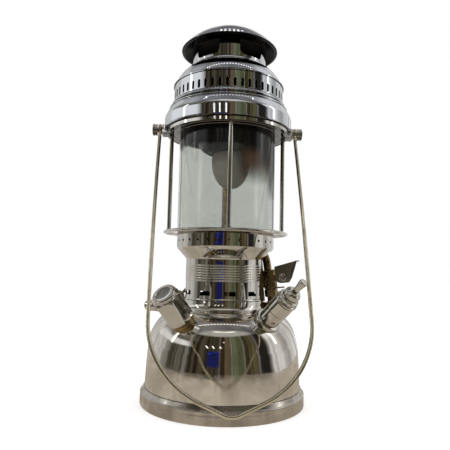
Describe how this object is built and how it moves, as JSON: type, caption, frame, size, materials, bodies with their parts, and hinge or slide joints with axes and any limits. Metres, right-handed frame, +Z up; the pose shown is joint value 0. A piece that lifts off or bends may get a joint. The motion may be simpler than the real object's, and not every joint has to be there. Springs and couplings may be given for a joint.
{
  "type": "kerosene pressure lantern",
  "caption": "Nickel-plated kerosene pressure lantern with glass, vented chrome hood, hand pump, rapid preheater, pressure gauge and a wire bail that hangs in front.",
  "frame": {"origin": "centre of the flat underside plate of the tank, 3 mm above the table that the foot stands on", "axes": "+Z up, -Y front (the side with the gauge, the pump and the hanging bail), +X the side of the preheater"},
  "size_m": [0.17, 0.2195, 0.4026],
  "materials": {
    "chrome_hood": "bright chrome plate, slightly blue",
    "nickel_plate": "warm polished nickel plate",
    "satin_nickel": "satin nickel, slightly dulled",
    "aged_brass": "aged golden-brown brass",
    "wire_steel": "nickel-plated steel wire",
    "heat_steel": "dark steel tinted by heat and soot",
    "lamp_glass": "clear heat-proof glass with soot at the top",
    "gauge_glass": "clear domed glass",
    "ceramic": "unglazed white ceramic",
    "mantle_ash": "burnt mantle, grey-brown",
    "leather": "oiled pump leather",
    "gasket_rubber": "matt black",
    "gauge_face": "printed dial, light and dark halves"
  },
  "bodies": {
    "lantern_body": {"tank_shell": "satin_nickel", "tank_base_plate": "satin_nickel", "foot_ring": "satin_nickel", "filler_neck": "aged_brass", "filler_gasket": "gasket_rubber", "pump_socket": "nickel_plate", "pump_barrel": "nickel_plate", "pump_collar": "nickel_plate", "pump_gland_nut": "nickel_plate", "pump_check_valve": "aged_brass", "preheater_socket": "aged_brass", "preheater_stem": "aged_brass", "preheater_nut": "aged_brass", "preheater_body": "aged_brass", "preheater_tube": "aged_brass", "preheater_lever_pin": "aged_brass", "preheater_dip_tube": "aged_brass", "collar": "nickel_plate", "glass_plate": "nickel_plate", "glass_cylinder": "lamp_glass", "cage_top_ring": "nickel_plate", "cage_rod_1": "nickel_plate", "cage_rod_2": "nickel_plate", "cage_rod_3": "nickel_plate", "cage_rod_4": "nickel_plate", "bail_stud_left": "nickel_plate", "bail_stud_right": "nickel_plate", "tank_bush": "aged_brass", "fuel_riser": "aged_brass", "vaporizer_foot": "aged_brass", "vaporizer_tube": "aged_brass", "spirit_cup": "aged_brass", "jet_nipple": "aged_brass", "spindle_gland_nut": "aged_brass"},
    "hood": {"hood_skirt": "chrome_hood", "hood_vent_band": "chrome_hood", "hood_crown": "chrome_hood", "chimney_neck": "chrome_hood", "chimney_cap": "chrome_hood", "inner_casing": "heat_steel", "burner_bracket": "heat_steel", "mixing_tube": "heat_steel", "gas_chamber": "heat_steel", "ceramic_nozzle": "ceramic", "mantle": "mantle_ash"},
    "bail": {"bail_handle": "wire_steel"},
    "pump_plunger": {"pump_rod": "wire_steel", "pump_piston": "leather", "pump_knob": "nickel_plate"},
    "cap": {"filler_cap": "nickel_plate", "gauge_dial": "gauge_face", "gauge_glass": "gauge_glass", "gauge_bezel": "nickel_plate"},
    "vent": {"vent_screw": "nickel_plate"},
    "pointer": {"gauge_pointer": "heat_steel"},
    "lever": {"preheater_lever": "wire_steel"},
    "valve_stem": {"preheater_valve_stem": "wire_steel"},
    "control": {"control_spindle": "wire_steel", "control_knob": "nickel_plate"},
    "needle": {"needle_rod": "wire_steel"}
  },
  "joints": [
    {"name": "bail_swing", "type": "hinge", "parent": "lantern_body", "child": "bail", "pos_m": [0, 0, 0.284], "axis": [-1, 0, 0], "range_deg": [0, 313]},
    {"name": "hood_lift", "type": "slide", "parent": "lantern_body", "child": "hood", "axis": [0, 0, 1], "range_m": [0, 0.12]},
    {"name": "pump_stroke", "type": "slide", "parent": "lantern_body", "child": "pump_plunger", "axis": [0.4678, -0.5923, 0.6561], "range_m": [0, 0.06]},
    {"name": "cap_turn", "type": "hinge", "parent": "lantern_body", "child": "cap", "pos_m": [-0.04127, -0.05151, 0.08345], "axis": [-0.4498, -0.5614, 0.6947], "range_deg": [0, 180]},
    {"name": "vent_turn", "type": "hinge", "parent": "cap", "child": "vent", "pos_m": [-0.05072, -0.0633, 0.09804], "axis": [-0.7804, 0.6252, 0], "range_deg": [0, 360]},
    {"name": "pointer_turn", "type": "hinge", "parent": "cap", "child": "pointer", "pos_m": [-0.05541, -0.06916, 0.1053], "axis": [-0.4498, -0.5614, 0.6947], "range_deg": [0, 270], "stiffness_Nm_per_rad": 0.0001},
    {"name": "lever_turn", "type": "hinge", "parent": "lantern_body", "child": "lever", "pos_m": [0.06062, -0.00477, 0.12643], "axis": [0.0785, 0.9969, 0], "range_deg": [0, 60], "stiffness_Nm_per_rad": 0.02},
    {"name": "stem_slide", "type": "slide", "parent": "lantern_body", "child": "valve_stem", "axis": [-0.1129, 0.0089, 0.9936], "range_m": [0, 0.0022]},
    {"name": "control_turn", "type": "hinge", "parent": "lantern_body", "child": "control", "pos_m": [0.00218, 0.0249, 0.15245], "axis": [-0.7165, -0.1131, -0.6884], "range_deg": [0, 180]},
    {"name": "needle_slide", "type": "slide", "parent": "lantern_body", "child": "needle", "axis": [0, 0, 1], "range_m": [0, 0.002]}
  ],
  "couplings": [
    {"joint": "stem_slide", "follows": "lever_turn", "m_per_rad": 0.0021},
    {"joint": "needle_slide", "follows": "control_turn", "m_per_rad": 0.000636}
  ]
}
